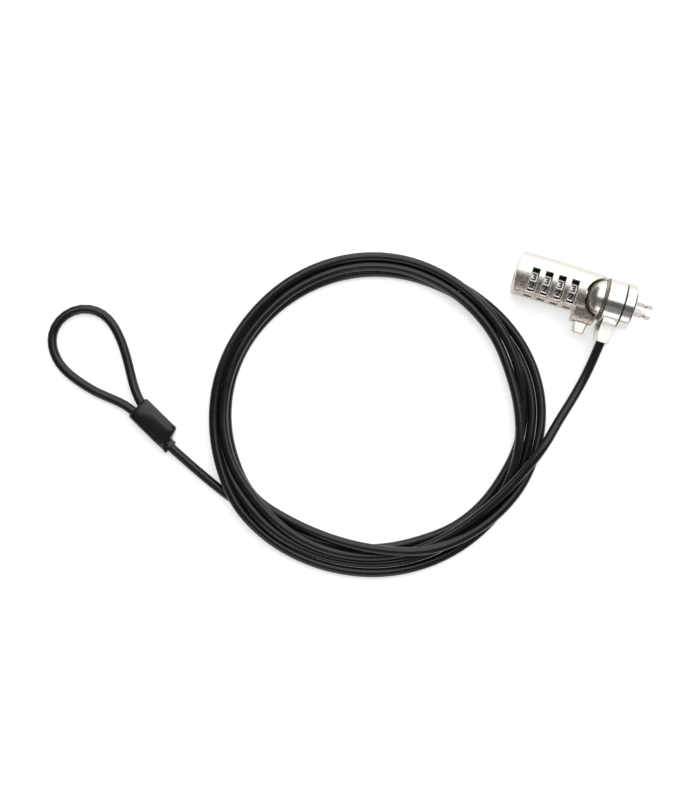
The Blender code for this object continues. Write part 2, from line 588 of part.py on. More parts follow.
def make_swivel_collar():
    """The ring that turns round the neck, with the tapered lug that holds the cable."""
    edge = 0.0002
    bore = NECK_RADIUS + GAP
    profile = ((COLLAR_X[0], bore), (COLLAR_X[0], HEAD_RADIUS - edge), (COLLAR_X[0] + edge, HEAD_RADIUS),
               (COLLAR_X[1] - edge, HEAD_RADIUS), (COLLAR_X[1], HEAD_RADIUS - edge), (COLLAR_X[1], bore))
    collar = add("swivel_collar", turned(profile, (0, 0, AXIS_Z), ALONG_X, 48), "polished_chrome", "cable_end")
    lug = loft((
        lug_section(-0.0074, 0.02635, 0.0036, AXIS_Z, 0.0060),
        lug_section(-0.0096, 0.02635, 0.0036, AXIS_Z, 0.0056),
        lug_section(-0.0106, 0.02620, 0.0039, 0.0095, 0.0053),
        lug_section(-0.0145, 0.02660, 0.0036, 0.0081, 0.0042),
        lug_section(MOUTH.y, MOUTH.x, 0.0031, MOUTH.z, 0.0033)))
    combine(collar, "UNION", "lug", lug)
    facing = CABLE_OUT.to_track_quat("Z", "Y").to_matrix()
    cut(collar, "cable_bore", turned(((-0.0085, 0), (-0.0085, 0.0024), (0.0020, 0.0024), (0.0020, 0)),
                                     MOUTH, facing, 24))
    ferrule = turned(((-0.0082, 0), (-0.0082, 0.0018), (-0.0078, 0.0021), (-0.0018, 0.0021), (-0.0018, 0)),
                     MOUTH, facing, 20)
    add("cable_ferrule", ferrule, "crimp_aluminium", "cable_end")
    washer_x = (DOME_X + GAP, COLLAR_X[0] - GAP)
    washer = tube((0, 0, AXIS_Z), *washer_x, HEAD_RADIUS - 0.0006, NECK_RADIUS + GAP, ALONG_X, 48)
    add("friction_washer", washer, "brass", "lock_body")


# ---- The cable ----
def make_cable():
    for name, route in (("cable_lead", LEAD_ROUTE), ("cable_tail", TAIL_ROUTE), ("cable_eye", EYE_ROUTE)):
        add_wire(name, smooth_route(route, 0.008), CABLE_RADIUS, "vinyl_black", "cable_end", 2)
    inner, outer = COIL_RADII
    edge = 0.0020
    profile = ((0, inner + edge), (0, outer - edge), (edge, outer), (COIL_HEIGHT - edge, outer),
               (COIL_HEIGHT, outer - edge), (COIL_HEIGHT, inner + edge), (COIL_HEIGHT - edge, inner), (edge, inner))
    coil = turned(profile, (*COIL_CENTRE, 0), ALONG_Z, 72)
    add("cable_coil", coil, "vinyl_black", "cable_end")


def sleeve_section(distance, half_width, half_height, radius, aside=0.0):
    side = Vector((-SLEEVE_DIRECTION.y, SLEEVE_DIRECTION.x, 0))
    middle = SLEEVE_START + SLEEVE_DIRECTION * distance + side * aside
    outline = rounded_rectangle(half_width, half_height, radius, 3)
    return [middle + side * a + Vector((0, 0, b)) for a, b in outline]


def make_loop_sleeve():
    """The moulded sleeve over the crimp that closes the cable's loop."""
    sleeve = add("loop_sleeve", loft((
        sleeve_section(0.0, SLEEVE_HALF_WIDTH - 0.0004, SLEEVE_HALF_HEIGHT - 0.0003, 0.0028),
        sleeve_section(0.0010, SLEEVE_HALF_WIDTH, SLEEVE_HALF_HEIGHT, 0.0030),
        sleeve_section(0.0160, SLEEVE_HALF_WIDTH, SLEEVE_HALF_HEIGHT, 0.0030),
        sleeve_section(0.0180, 0.0050, SLEEVE_HALF_HEIGHT, 0.0030, -0.0004),
        sleeve_section(0.0196, NOZZLE_HALF_WIDTH, NOZZLE_HALF_WIDTH, 0.0028, NOZZLE_ASIDE),
        sleeve_section(SLEEVE_LENGTH, NOZZLE_HALF_WIDTH, NOZZLE_HALF_WIDTH, 0.0028, NOZZLE_ASIDE))),
        "vinyl_black", "cable_end")
    hollow = loft((
        sleeve_section(-0.0010, 0.0044, 0.0024, 0.0022),
        sleeve_section(0.0165, 0.0044, 0.0024, 0.0022),
        sleeve_section(0.0185, 0.0026, 0.0024, 0.0022),
        sleeve_section(SLEEVE_LENGTH + 0.0010, 0.0026, 0.0024, 0.0022)))
    cut(sleeve, "hollow", hollow)
    crimp = loft((
        sleeve_section(0.0022, 0.0040, 0.0021, 0.0019),
        sleeve_section(0.0160, 0.0040, 0.0021, 0.0019)))
    add("loop_crimp", crimp, "crimp_aluminium", "cable_end")


def main():
    clear_scene()
    make_materials()
    make_empties()
    make_housing()
    make_base_cover()
    make_code_reset_screw()
    make_dials()
    make_spindle()
    make_dial_detent_spring()
    make_head_core()
    make_front_cap()
    make_prongs()
    make_bolt()
    make_release_button()
    make_swivel_collar()
    make_cable()
    make_loop_sleeve()


main()
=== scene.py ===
"""The looks of the laptop cable lock: cable, dial lock, swivelling head and looped end. Metres."""

from math import cos, pi, radians, sin, sqrt

import bmesh
import bpy
import numpy as np
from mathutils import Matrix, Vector


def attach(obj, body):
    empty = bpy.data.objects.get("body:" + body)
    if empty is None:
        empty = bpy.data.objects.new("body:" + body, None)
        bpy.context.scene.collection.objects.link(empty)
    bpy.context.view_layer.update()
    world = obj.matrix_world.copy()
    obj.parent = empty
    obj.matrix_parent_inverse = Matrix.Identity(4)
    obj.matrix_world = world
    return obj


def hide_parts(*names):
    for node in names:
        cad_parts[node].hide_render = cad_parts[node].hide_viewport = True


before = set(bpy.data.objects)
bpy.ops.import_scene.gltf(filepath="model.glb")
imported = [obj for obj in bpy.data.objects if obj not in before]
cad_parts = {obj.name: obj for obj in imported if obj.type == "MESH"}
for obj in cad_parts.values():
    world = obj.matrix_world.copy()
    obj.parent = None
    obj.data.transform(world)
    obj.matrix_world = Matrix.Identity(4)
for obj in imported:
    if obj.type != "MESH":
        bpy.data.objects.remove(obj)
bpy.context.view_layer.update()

# ---- The camera and the floor ----
CAMERA_PLACE = (-0.0673, -0.0713, 0.620)
CAMERA_TURN = radians(16.8)
CAMERA_LENS = 74.6
FLOOR_LEVEL = -0.00005       # just under the object
FLOOR_HALF_SIZE = 20.0

# ---- The cable ----
CABLE_RADIUS = 0.0020
STRAND_SPACING = 0.00405
FLOOR_HEIGHT = 0.00203       # of the cable's centreline where it lies on the floor
MOUTH = Vector((0.0271, -0.0174, 0.0068))
CABLE_EXIT = Vector((-0.12, -0.97, -0.20)).normalized()
CABLE_BORE_RADIUS = 0.0024
COIL_CENTRE = Vector((-0.0545, -0.0742, 0.0))
COIL_ZERO = radians(16.8)    # from +X: where the coil's angles start, and along which it is a little longer
COIL_STRETCH = 1.02          # how much longer
COIL_STEPS = 96              # points to a turn while the coil settles
COIL_THINNING = 4            # one settled point in so many is kept
SETTLING_ROUNDS = 1500
SINKING = 0.00002            # how far each round lets the strands down
UPRIGHT_SMOOTHING = 0.45     # the cable's stiffness, up and down
SIDEWAYS_SMOOTHING = 0.30    # and sideways
PULL_BACK = 0.02             # how strongly a strand that was pushed aside is drawn back
PATH_SPACING = 0.003
EVENING_ROUNDS = 25
EVENING_SHARES = (0.50, -0.53)
MM = 0.001

# Each turn of the coil, from the lock to the sleeve: (angle in degrees, radius in mm). Seen from above, the
# angles run clockwise from COIL_ZERO.
COIL_TURNS = (
    ((8, 70.81), (12, 69.11), (16, 67.42), (20, 65.51), (25, 63.60), (30, 62.12), (37, 60.42),
     (45, 59.36), (55, 58.51), (65, 58.09), (75, 58.30), (85, 58.94), (95, 59.70), (105, 60.34),
     (120, 61.31), (135, 62.54), (150, 63.39), (165, 63.81), (180, 64.02), (200, 63.39), (225, 62.96),
     (255, 63.60), (270, 63.60), (285, 62.75), (300, 61.40), (315, 60.55), (330, 59.91), (345, 59.70)),
    ((0, 60.00), (15, 60.42), (30, 61.06), (45, 61.90), (60, 62.33), (75, 62.33), (90, 62.54),
     (105, 63.39), (125, 64.24), (150, 64.87), (165, 65.93), (180, 66.57), (195, 66.99), (225, 66.57),
     (250, 65.72), (270, 65.30), (285, 64.66), (300, 64.45), (315, 64.87), (330, 65.72), (345, 66.36)),
    ((0, 66.78), (15, 66.78), (30, 65.72), (45, 63.81), (60, 61.48), (75, 59.28), (85, 57.79),
     (92, 56.90), (100, 56.39), (115, 57.24), (125, 58.72), (135, 61.06), (142, 62.75), (155, 63.81),
     (165, 63.60), (180, 63.18), (200, 62.75), (215, 62.33), (225, 61.90), (240, 61.48), (255, 61.18),
     (270, 61.06), (285, 61.06), (300, 61.27), (315, 62.33), (330, 63.60), (345, 64.02)),
    ((0, 64.24), (15, 64.24), (38, 64.66), (60, 65.30), (75, 65.93), (90, 66.36), (105, 66.99),
     (120, 67.63), (130, 67.84), (140, 67.71), (150, 67.42), (165, 67.12), (180, 67.12), (200, 66.78),
     (225, 66.36), (240, 66.70), (255, 66.78), (270, 66.44), (285, 65.51), (300, 64.36), (315, 63.39),
     (330, 62.54), (345, 62.12)),
    ((0, 62.12), (15, 61.06), (30, 59.78), (45, 59.15), (60, 58.51), (75, 58.09), (90, 57.66),
     (100, 57.66), (110, 57.88), (120, 58.51), (125, 59.15), (130, 60.21), (135, 61.69), (140, 63.60),
     (145, 66.36), (150, 69.54)),
)
# How high the coil starts before it settles: (angle from the first turn's zero, layers above the floor).
COIL_LAYERS = (
    (8, 1.5), (18, 2.8), (30, 2.6), (60, 1.4), (75, 1.0), (100, 0.9), (150, 1.3), (180, 1.4),
    (250, 1.3), (300, 1.3), (345, 1.0), (360, 0.8), (400, 0.3), (450, 0.0), (520, 0.0), (640, 0.0),
    (680, 0.3), (710, 1.0), (735, 1.4), (760, 1.7), (780, 2.0), (795, 2.6), (810, 2.4), (820, 1.6),
    (860, 1.0), (880, 0.2), (1000, 0.0), (1080, 0.2), (1110, 0.3), (1200, 0.3), (1250, 0.6),
    (1300, 1.0), (1350, 1.3), (1400, 1.2), (1440, 0.8), (1460, 0.2), (1480, 0.0), (1590, 0.0),
)
# Where the second turn passes over the last at a slant: angle, rise and spread.
SLANT_ANGLE, SLANT_RISE, SLANT_SPREAD = 500, 0.0012, 14
LEAD_ROUTE = (
    (0.02790, -0.00920, 0.00850),
    (0.02740, -0.01350, 0.00770),
    (0.02692, -0.01800, 0.00670),
    (0.02640, -0.02400, 0.00570),
    (0.02540, -0.03200, 0.00480),
    (0.02350, -0.04100, 0.00470),
    (0.02130, -0.04900, 0.00600),
    (0.01900, -0.05650, 0.00790),
)
TAIL_ROUTE = (
    (-0.11200, -0.12260, 0.00205),
    (-0.11850, -0.11990, 0.00205),
    (-0.12450, -0.11720, 0.00225),
    (-0.12930, -0.11490, 0.00290),
    (-0.13400, -0.11250, 0.00350),
)
EYE_ROUTE = (
    (-0.15235, -0.09800, 0.00350),
    (-0.15565, -0.09405, 0.00290),
    (-0.15920, -0.08880, 0.00215),
    (-0.16330, -0.08210, 0.00205),
    (-0.16820, -0.07510, 0.00205),
    (-0.17400, -0.06950, 0.00205),
    (-0.18100, -0.06650, 0.00205),
    (-0.18820, -0.06740, 0.00205),
    (-0.19370, -0.07180, 0.00205),
    (-0.19640, -0.07850, 0.00205),
    (-0.19500, -0.08590, 0.00205),
    (-0.19010, -0.09220, 0.00205),
    (-0.18300, -0.09590, 0.00205),
    (-0.17500, -0.09850, 0.00205),
    (-0.16750, -0.09990, 0.00205),
    (-0.16080, -0.10060, 0.00250),
    (-0.15560, -0.10190, 0.00340),
)
# Inside the sleeve, as (distance along it, distance to its side): where the cable passes, and where it ends.
SLEEVE_PASSAGE = ((0.0180, -0.0020), (0.0135, -0.0008), (0.0085, 0.0005), (0.0040, 0.0014))
CRIMPED_END = ((0.0040, -0.0027), (0.0090, -0.0033))
SLEEVE_START = Vector((-0.1531, -0.1002, 0.0035))
SLEEVE_DIRECTION = Vector((0.8846, -0.4664, 0.0)).normalized()
SLEEVE_SIDE = Vector((0.4664, 0.8846, 0.0)).normalized()


# ---- Materials ----
class Graph:
    """A material's nodes, made and joined in short lines."""

    def __init__(self, name, base, metallic, roughness):
        self.material = bpy.data.materials.new(name)
        self.material.use_nodes = True
        self.nodes = self.material.node_tree.nodes
        self.links = self.material.node_tree.links
        self.shader = self.nodes["Principled BSDF"]
        self.shader.inputs["Base Color"].default_value = (*base, 1.0)
        self.shader.inputs["Metallic"].default_value = metallic
        self.shader.inputs["Roughness"].default_value = roughness
        self.place = self.nodes.new("ShaderNodeTexCoord").outputs["Object"]

    def node(self, kind, settings=None, **inputs):
        node = self.nodes.new(kind)
        for key, value in (settings or {}).items():
            setattr(node, key, value)
        for key, value in inputs.items():
            socket = node.inputs[key.replace("_", " ")]
            if isinstance(value, bpy.types.NodeSocket):
                self.links.new(value, socket)
            else:
                socket.default_value = value
        return node

    def noise(self, scale, detail=2.0, place=None):
        node = self.node("ShaderNodeTexNoise", Scale=scale, Detail=detail)
        self.links.new(place or self.place, node.inputs["Vector"])
        return node.outputs["Fac"]

    def stretched(self, scale):
        node = self.node("ShaderNodeMapping", Scale=scale)
        self.links.new(self.place, node.inputs["Vector"])
        return node.outputs["Vector"]

    def span(self, value, low, high, start=0.0, end=1.0):
        node = self.node("ShaderNodeMapRange", Value=value)
        for place, number in zip((1, 2, 3, 4), (start, end, low, high)):
            node.inputs[place].default_value = number
        return node.outputs["Result"]

    def ramp(self, value, stops):
        node = self.node("ShaderNodeValToRGB", Fac=value)
        elements = node.color_ramp.elements
        for element, (position, colour) in zip((elements[0], elements[1]), (stops[0], stops[-1])):
            element.position = position
            element.color = (*colour, 1.0)
        for position, colour in stops[1:-1]:
            elements.new(position).color = (*colour, 1.0)
        return node.outputs["Color"]

    def bump(self, height, distance, strength=1.0, normal=None):
        node = self.node("ShaderNodeBump", Height=height, Distance=distance, Strength=strength)
        if normal:
            self.links.new(normal, node.inputs["Normal"])
        return node.outputs["Normal"]

    def plug(self, socket, value):
        self.links.new(value, self.shader.inputs[socket])


def vinyl(name):
    """Glossy black vinyl with a faint unevenness along its length."""
    graph = Graph(name, (0.008, 0.008, 0.009), 0.0, 0.22)
    graph.shader.inputs["Specular IOR Level"].default_value = 0.38
    graph.plug("Roughness", graph.span(graph.noise(220, 4), 0.16, 0.28, 0.3, 0.7))
    tints = ((0.3, (0.006, 0.006, 0.007)), (0.7, (0.011, 0.011, 0.012)))
    graph.plug("Base Color", graph.ramp(graph.noise(60, 3), tints))
    graph.plug("Normal", graph.bump(graph.noise(900, 3), 0.00001, 0.4))
    return graph.material


def satin_nickel(name):
    """Warm nickel plate over a cast skin: mottled, with a few faint scuffs, and painted light: its colour is
    lifted towards +Y, the side that faces the lights, and darkened a little towards -Y.
    """
    graph = Graph(name, (0.70, 0.66, 0.61), 1.0, 0.30)
    grain = graph.noise(2600, 3)
    mottle = graph.noise(1300, 5)
    scuffs = graph.noise(40, 4, graph.stretched((6.0, 60.0, 60.0)))
    # painted light: the colour is made lighter towards +Y, where the lights fall, and a little darker
    # towards -Y
    across = graph.node("ShaderNodeSeparateXYZ", Vector=graph.place).outputs["Y"]
    mottle_and_painted_light = graph.node("ShaderNodeMath", {"operation": "ADD"}).outputs["Value"]
    graph.links.new(mottle, mottle_and_painted_light.node.inputs[0])
    graph.links.new(graph.span(across, -0.04, 0.16, -0.0030, 0.0012), mottle_and_painted_light.node.inputs[1])
    tints = ((0.34, (0.25, 0.20, 0.17)), (0.48, (0.51, 0.455, 0.405)), (0.64, (0.625, 0.595, 0.545)))
    graph.plug("Base Color", graph.ramp(mottle_and_painted_light, tints))
    graph.plug("Roughness", graph.span(scuffs, 0.24, 0.36, 0.3, 0.7))
    graph.plug("Normal", graph.bump(mottle, 0.00008, 0.45, graph.bump(grain, 0.00004, 0.6)))
    return graph.material


def polished_plate(name, tint, roughness):
    """Bright plate with faint polishing marks."""
    graph = Graph(name, tint, 1.0, roughness)
    marks = graph.noise(120, 3, graph.stretched((40.0, 1.0, 1.0)))
    darker = tuple(0.9 * value for value in tint)
    graph.plug("Base Color", graph.ramp(graph.noise(90, 3), ((0.3, darker), (0.7, tint))))
    graph.plug("Roughness", graph.span(marks, roughness * 0.8, roughness * 1.5, 0.3, 0.7))
    graph.plug("Normal", graph.bump(graph.noise(160, 2), 0.00003, 0.35))
    return graph.material


def wheel_metal(name, tint, roughness):
    """Metal with fine turning marks round the wheel."""
    graph = Graph(name, tint, 1.0, roughness)
    turning = graph.noise(30, 3, graph.stretched((90.0, 1.0, 1.0)))
    graph.plug("Roughness", graph.span(turning, roughness * 0.8, roughness * 1.4, 0.3, 0.7))
    graph.plug("Normal", graph.bump(turning, 0.00003, 0.5))
    return graph.material


def plain_steel(name, tint=(0.55, 0.55, 0.56), roughness=0.32):
    """Drawn metal with faint lines along it."""
    graph = Graph(name, tint, 1.0, roughness)
    lines = graph.noise(50, 4, graph.stretched((2.0, 30.0, 30.0)))
    graph.plug("Roughness", graph.span(lines, roughness * 0.75, roughness * 1.35, 0.3, 0.7))
    graph.plug("Normal", graph.bump(lines, 0.00003, 0.4))
    return graph.material


def digit_paint(name):
    """Black paint with a slight grain."""
    graph = Graph(name, (0.012, 0.012, 0.012), 0.0, 0.45)
    graph.plug("Normal", graph.bump(graph.noise(3000, 2), 0.00001, 0.5))
    return graph.material


def floor_paint():
    """A matt white that glows a little, so that it stays even under the lights."""
    graph = Graph("floor_paint", (0.93, 0.93, 0.93), 0.0, 0.85)
    graph.shader.inputs["Emission Color"].default_value = (1.0, 1.0, 1.0, 1.0)
    graph.shader.inputs["Emission Strength"].default_value = 0.50
    graph.shader.inputs["Specular IOR Level"].default_value = 0.1
    return graph.material


# ---- The cable's path ----
def interpolated(knots, values):
    """Values at the given angles on a smooth curve through knots of (angle, value)."""
    angles = np.array([a for a, _ in knots], float)
    heights = np.array([h for _, h in knots], float)
    slopes = np.gradient(heights, angles)
    place = np.clip(np.searchsorted(angles, values, side="right") - 1, 0, len(angles) - 2)
    width = angles[place + 1] - angles[place]
    t = (values - angles[place]) / width
    start = (2 * t ** 3 - 3 * t ** 2 + 1) * heights[place]
    end = (3 * t ** 2 - 2 * t ** 3) * heights[place + 1]
    leaving = (t ** 3 - 2 * t ** 2 + t) * width * slopes[place]
    arriving = (t ** 3 - t ** 2) * width * slopes[place + 1]
    return start + leaving + end + arriving


def settled_coil():
    """The coil's angles, radii and heights, after its strands have sunk on each other and on the floor."""
    knots = []
    for turn, strand in enumerate(COIL_TURNS):
        knots += [(360 * turn + angle, radius * MM) for angle, radius in strand]
    first, last = knots[0][0], knots[-1][0]
    step = 360 / COIL_STEPS
    start = int(np.ceil(first / step))
    count = int(last // step) - start + 1
    angles = (start + np.arange(count)) * step
    wanted = interpolated(knots, angles)
    radius = wanted.copy()
    height = FLOOR_HEIGHT + np.interp(angles, *zip(*COIL_LAYERS)) * STRAND_SPACING
    for _ in range(SETTLING_ROUNDS):
        height[1:-1] -= SINKING
        bend = height[:-2] - 2 * height[1:-1] + height[2:]
        height[1:-1] += UPRIGHT_SMOOTHING * bend
        aside = radius - wanted
        bend = aside[:-2] - 2 * aside[1:-1] + aside[2:]
        radius[1:-1] += SIDEWAYS_SMOOTHING * bend - PULL_BACK * aside[1:-1]
        for turns in range(1, len(COIL_TURNS)):
            gap = turns * COIL_STEPS
            if gap >= count:
                continue
            across = radius[gap:] - radius[:-gap]
            up = height[gap:] - height[:-gap]
            distance = np.maximum(np.sqrt(across ** 2 + up ** 2), 1e-6)
            push = np.maximum(0.0, STRAND_SPACING - distance) / distance * 0.5
            radius[gap:] += push * across
            radius[:-gap] -= push * across
            height[gap:] += push * up
            height[:-gap] -= push * up
        height = np.maximum(height, FLOOR_HEIGHT)
    height += SLANT_RISE * np.exp(-((angles - SLANT_ANGLE) / SLANT_SPREAD) ** 2)
    return angles, radius, height


def coil_point(angle, radius, height):
    turn = radians(angle)
    along = Vector((cos(COIL_ZERO), sin(COIL_ZERO), 0))
    across = Vector((-sin(COIL_ZERO), cos(COIL_ZERO), 0))
    place = COIL_CENTRE + along * (radius * cos(turn) * COIL_STRETCH) - across * (radius * sin(turn))
    return Vector((place.x, place.y, height))


def in_sleeve(distance, side):
    return SLEEVE_START + SLEEVE_DIRECTION * distance + SLEEVE_SIDE * side


def cable_points():
    """The whole route: lead, coil, tail, through the sleeve, round the eye and into the sleeve again."""
    coil = [coil_point(a, r, z) for a, r, z in zip(*settled_coil())][::COIL_THINNING]
    lead, tail, eye = ([Vector(p) for p in route] for route in (LEAD_ROUTE, TAIL_ROUTE, EYE_ROUTE))
    passage, end = ([in_sleeve(*p) for p in points] for points in (SLEEVE_PASSAGE, CRIMPED_END))
    return lead + coil + tail + passage + eye + end


def smooth_curve(knots, steps_for):
    """Points on a Catmull-Rom curve through the knots; steps_for gives their number from a span's length."""
    knots = [2 * knots[0] - knots[1]] + knots + [2 * knots[-1] - knots[-2]]
    points = []
    for before, start, end, after in zip(knots, knots[1:], knots[2:], knots[3:]):
        steps = steps_for((end - start).length)
        for i in range(steps):
            t = i / steps
            points.append(0.5 * (
                2 * start + (end - before) * t
                + (2 * before - 5 * start + 4 * end - after) * t ** 2
                + (3 * start - before - 3 * end + after) * t ** 3))
    return points + [knots[-2]]


def evened(points):
    """The path with its small kinks taken out, by smoothing in pairs of steps that keep its size."""
    path = np.array(points)
    for _ in range(EVENING_ROUNDS):
        for share in EVENING_SHARES:
            path[1:-1] += share * (0.5 * (path[:-2] + path[2:]) - path[1:-1])
    path[:, 2] = np.maximum(path[:, 2], FLOOR_HEIGHT)
    return [Vector(point) for point in path]


def make_cable():
    points = evened(smooth_curve(cable_points(), lambda span: max(1, round(span / PATH_SPACING))))
    curve = bpy.data.curves.new("cable", "CURVE")
    curve.dimensions = "3D"
    curve.bevel_depth = CABLE_RADIUS
    curve.bevel_resolution = 6
    curve.use_fill_caps = True
    spline = curve.splines.new("POLY")
    spline.points.add(len(points) - 1)
    for place, point in zip(spline.points, points):
        place.co = (*point, 1.0)
    cable = bpy.data.objects.new("cable", curve)
    bpy.context.scene.collection.objects.link(cable)
    curve.materials.append(vinyl("cable_vinyl"))
    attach(cable, "cable_end")
    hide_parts("cable_lead", "cable_coil", "cable_tail", "cable_eye")
    make_sleeve()


# ---- Shapes for the lock ----
def link(obj, material, body, *nodes):
    obj.data.materials.append(material)
    bpy.context.scene.collection.objects.link(obj)
    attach(obj, body)
    if nodes:
        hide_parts(*nodes)
    return obj


def mesh_object(name, shape, angle=35):
    bmesh.ops.recalc_face_normals(shape, faces=shape.faces)
    mesh = bpy.data.meshes.new(name)
    shape.to_mesh(mesh)
    shape.free()
    mesh.shade_smooth()
    mesh.set_sharp_from_angle(angle=radians(angle))
    return bpy.data.objects.new(name, mesh)


def loft(sections):
    """A closed shape over rings of points, with flat ends."""
    shape = bmesh.new()
    rings = [[shape.verts.new(point) for point in section] for section in sections]
    shape.faces.new(rings[0])
    shape.faces.new(rings[-1])
    for near, far in zip(rings, rings[1:]):
        for i in range(len(near)):
            j = (i + 1) % len(near)
            shape.faces.new((near[i], near[j], far[j], far[i]))
    return shape


def prism(outline, low, high, axis="Z"):
    """An outline drawn out from low to high along X or Z."""
    turn = {"X": lambda a, b, c: (c, a, b), "Z": lambda a, b, c: (a, b, c)}[axis]
    return loft([[turn(a, b, level) for a, b in outline] for level in (low, high)])


def turned(profile, sides=128):
    """A closed profile of (x, radius) points, turned round the head's axis."""
    shape = bmesh.new()
    rings = []
    for x, radius in profile:
        if radius < 1e-7:
            rings.append([shape.verts.new((x, 0.0, AXIS_Z))])
            continue
        round_points = arc((0.0, AXIS_Z), radius, 0, 360, sides)[:-1]
        rings.append([shape.verts.new((x, y, z)) for y, z in round_points])
    for near, far in zip(rings, rings[1:] + rings[:1]):
        if len(near) == 1 and len(far) == 1:
            continue
        for i in range(sides):
            j = i + 1
            corners = [near[i % len(near)], near[j % len(near)], far[j % len(far)], far[i % len(far)]]
            shape.faces.new(list(dict.fromkeys(corners)))
    return shape


def soften(obj, width, segments=2, angle=35):
    modifier = obj.modifiers.new("soft_edges", "BEVEL")
    modifier.width = width
    modifier.segments = segments
    modifier.limit_method = "ANGLE"
    modifier.angle_limit = radians(angle)
    modifier.miter_outer = "MITER_ARC"
    return obj


def applied(obj):
    """The object with its modifiers made into its mesh."""
    bpy.context.scene.collection.objects.link(obj)
    bpy.context.view_layer.update()
    graph = bpy.context.evaluated_depsgraph_get()
    mesh = bpy.data.meshes.new_from_object(obj.evaluated_get(graph))
    for modifier in list(obj.modifiers):
        obj.modifiers.remove(modifier)
    bpy.context.scene.collection.objects.unlink(obj)
    obj.data = mesh
    return obj


def boolean(obj, operation, shape):
    """Cuts, joins or crosses the object with a shape, and keeps the result as its mesh."""
    other = mesh_object("cutter", shape)
    bpy.context.scene.collection.objects.link(other)
    modifier = obj.modifiers.new("boolean", "BOOLEAN")
    modifier.operation = operation
    modifier.solver = "EXACT"
    modifier.object = other
    applied(obj)
    bpy.data.objects.remove(other, do_unlink=True)
    return obj


def arc(centre, radius, start, end, steps):
    angles = [radians(start + (end - start) * i / steps) for i in range(steps + 1)]
    return [(centre[0] + radius * cos(a), centre[1] + radius * sin(a)) for a in angles]


def curve_through(knots, steps):
    """Points on a smooth plane curve through the knots, with so many steps between each two."""
    points = smooth_curve([Vector((a, b, 0)) for a, b in knots], lambda span: steps)
    return [(p.x, p.y) for p in points]


# ---- The lock's sizes ----
AXIS_Z = 0.0099              # the head's axis runs along X at this height
HEAD_RADIUS = 0.0099
NECK_RADIUS = 0.0062
SHANK_RADIUS = 0.0032
DOME_RADIUS = 0.0083
DOME_LENGTH = 0.0072
DOME_X = 0.0214
COLLAR_X = (0.0227, 0.0300)
RING_BORE = 0.0065           # the bore of the washer, the collar and the cap
STEM_X, STEM_Z = 0.0172, 0.0080
STEM_RADIUS = 0.0009
STEM_HOLE_RADIUS = 0.0012
BUTTON_X = 0.0161
BUTTON_Z = (0.0056, 0.0104)
DIAL_Y, DIAL_Z = -0.0012, 0.0092
DIAL_RADIUS = 0.0059
DIAL_BORE = 0.0033
DIAL_HALF_WIDTH = 0.0015
LAND_DEPTH = 0.00028         # how deep the digits' flats lie between the ridges
LAND_HALF_TURN = 15.2        # in degrees
DIGIT_SIZE = 0.0042
DIGIT_WEIGHT = 0.00020
DIGIT_LIFT = 0.00003
DIGIT_TURN = 23.0            # where the digit 2 stands, in degrees from the top towards -Y
DIAL_XS = tuple(-0.0085 + 0.0057 * i for i in range(4))
WINDOW_HALF_WIDTH = 0.00165
WINDOW_Y = (-0.0060, 0.0039)
WINDOW_CORNER = 0.0011
RIM_RADIUS = 0.00024
SCOOP_CENTRE, SCOOP_RADIUS = (0.0227, 0.0), 0.0089
HOUSING_MIDDLE = 0.0016      # the Y and Z that the rear end's rings shrink towards
HOUSING_MIDDLE_Z = 0.006
REAR_BULGE = 0.0013
# The housing's top, as (y, z) from the button's side over to the far side.
CROWN = (
    (-0.0067, 0.0136), (-0.0060, 0.01405), (-0.0046, 0.0148), (-0.0020, 0.01570), (0.0008, 0.0161),
    (0.0032, 0.0159), (0.0060, 0.0151), (0.0084, 0.0134), (0.0100, 0.0110), (0.0107, 0.0080),
    (0.0108, 0.0040),
)


# ---- The housing ----


def stem_rod(radius, start, end):
    """A rod along the button's stem, from start to end on Y."""
    outline = arc((STEM_X, STEM_Z), radius, 0, 360, 24)[:-1]
    return loft([[(x, y, z) for x, z in outline] for y in (start, end)])


def housing_section():
    base = [(0.0104, 0.0012), (0.0094, 0.0002), (0.0088, 0.0), (-0.0072, 0.0), (-0.0077, 0.0006)]
    flank = [(-0.0077, 0.0100), (-0.0069, 0.0131)]
    return base + flank + curve_through(CROWN, 4)


def crown_height(y):
    """How high the housing's top is at y."""
    below = [p for p in curve_through(CROWN, 4) if p[0] <= 0.0090]
    return float(np.interp(y, [p[0] for p in below], [p[1] for p in below]))


def side_reach(x):
    """How far the rounded side stands out at x, as a share of its most."""
    places = (-0.0170, -0.0150, -0.0120, -0.0067, 0.0028, 0.0125, 0.0198, 0.0221)
    return float(np.interp(x, places, (0.955, 0.965, 0.982, 1.0, 1.0, 0.985, 0.965, 0.93)))


def housing_rows():
    """The housing's cross-sections, from the bulged rear end, closed by smaller rings, to the head."""
    section = housing_section()
    rear = [(-0.0151, share) for share in (0.03, 0.25, 0.50, 0.72, 0.88, 0.96, 0.985)]
    rear += [(-0.01495, 0.993), (-0.0148, 0.998)]
    places = (-0.0144, -0.0130, -0.0110, -0.0080, -0.0040, 0.0, 0.0040, 0.0080, 0.0120, 0.0150, 0.0180,
              0.0200, 0.0214)
    rows = []
    for x, share in rear + [(place, 1.0) for place in places]:
        fade = max(0.0, 1.0 - max(0.0, (x + 0.0150) / 0.008))
        points = []
        for y, z in section:
            reach = side_reach(x) if y > 0 else 1.0
            across = (y * reach - HOUSING_MIDDLE) * share
            fall = 0.0015 if across > 0 else 0.0014
            bulge = (REAR_BULGE - fall * (across / 0.0092) ** 2) * fade
            height = (z - HOUSING_MIDDLE_Z) * share + HOUSING_MIDDLE_Z
            points.append((x - bulge, across + HOUSING_MIDDLE, height))
        rows.append(points)
    return rows


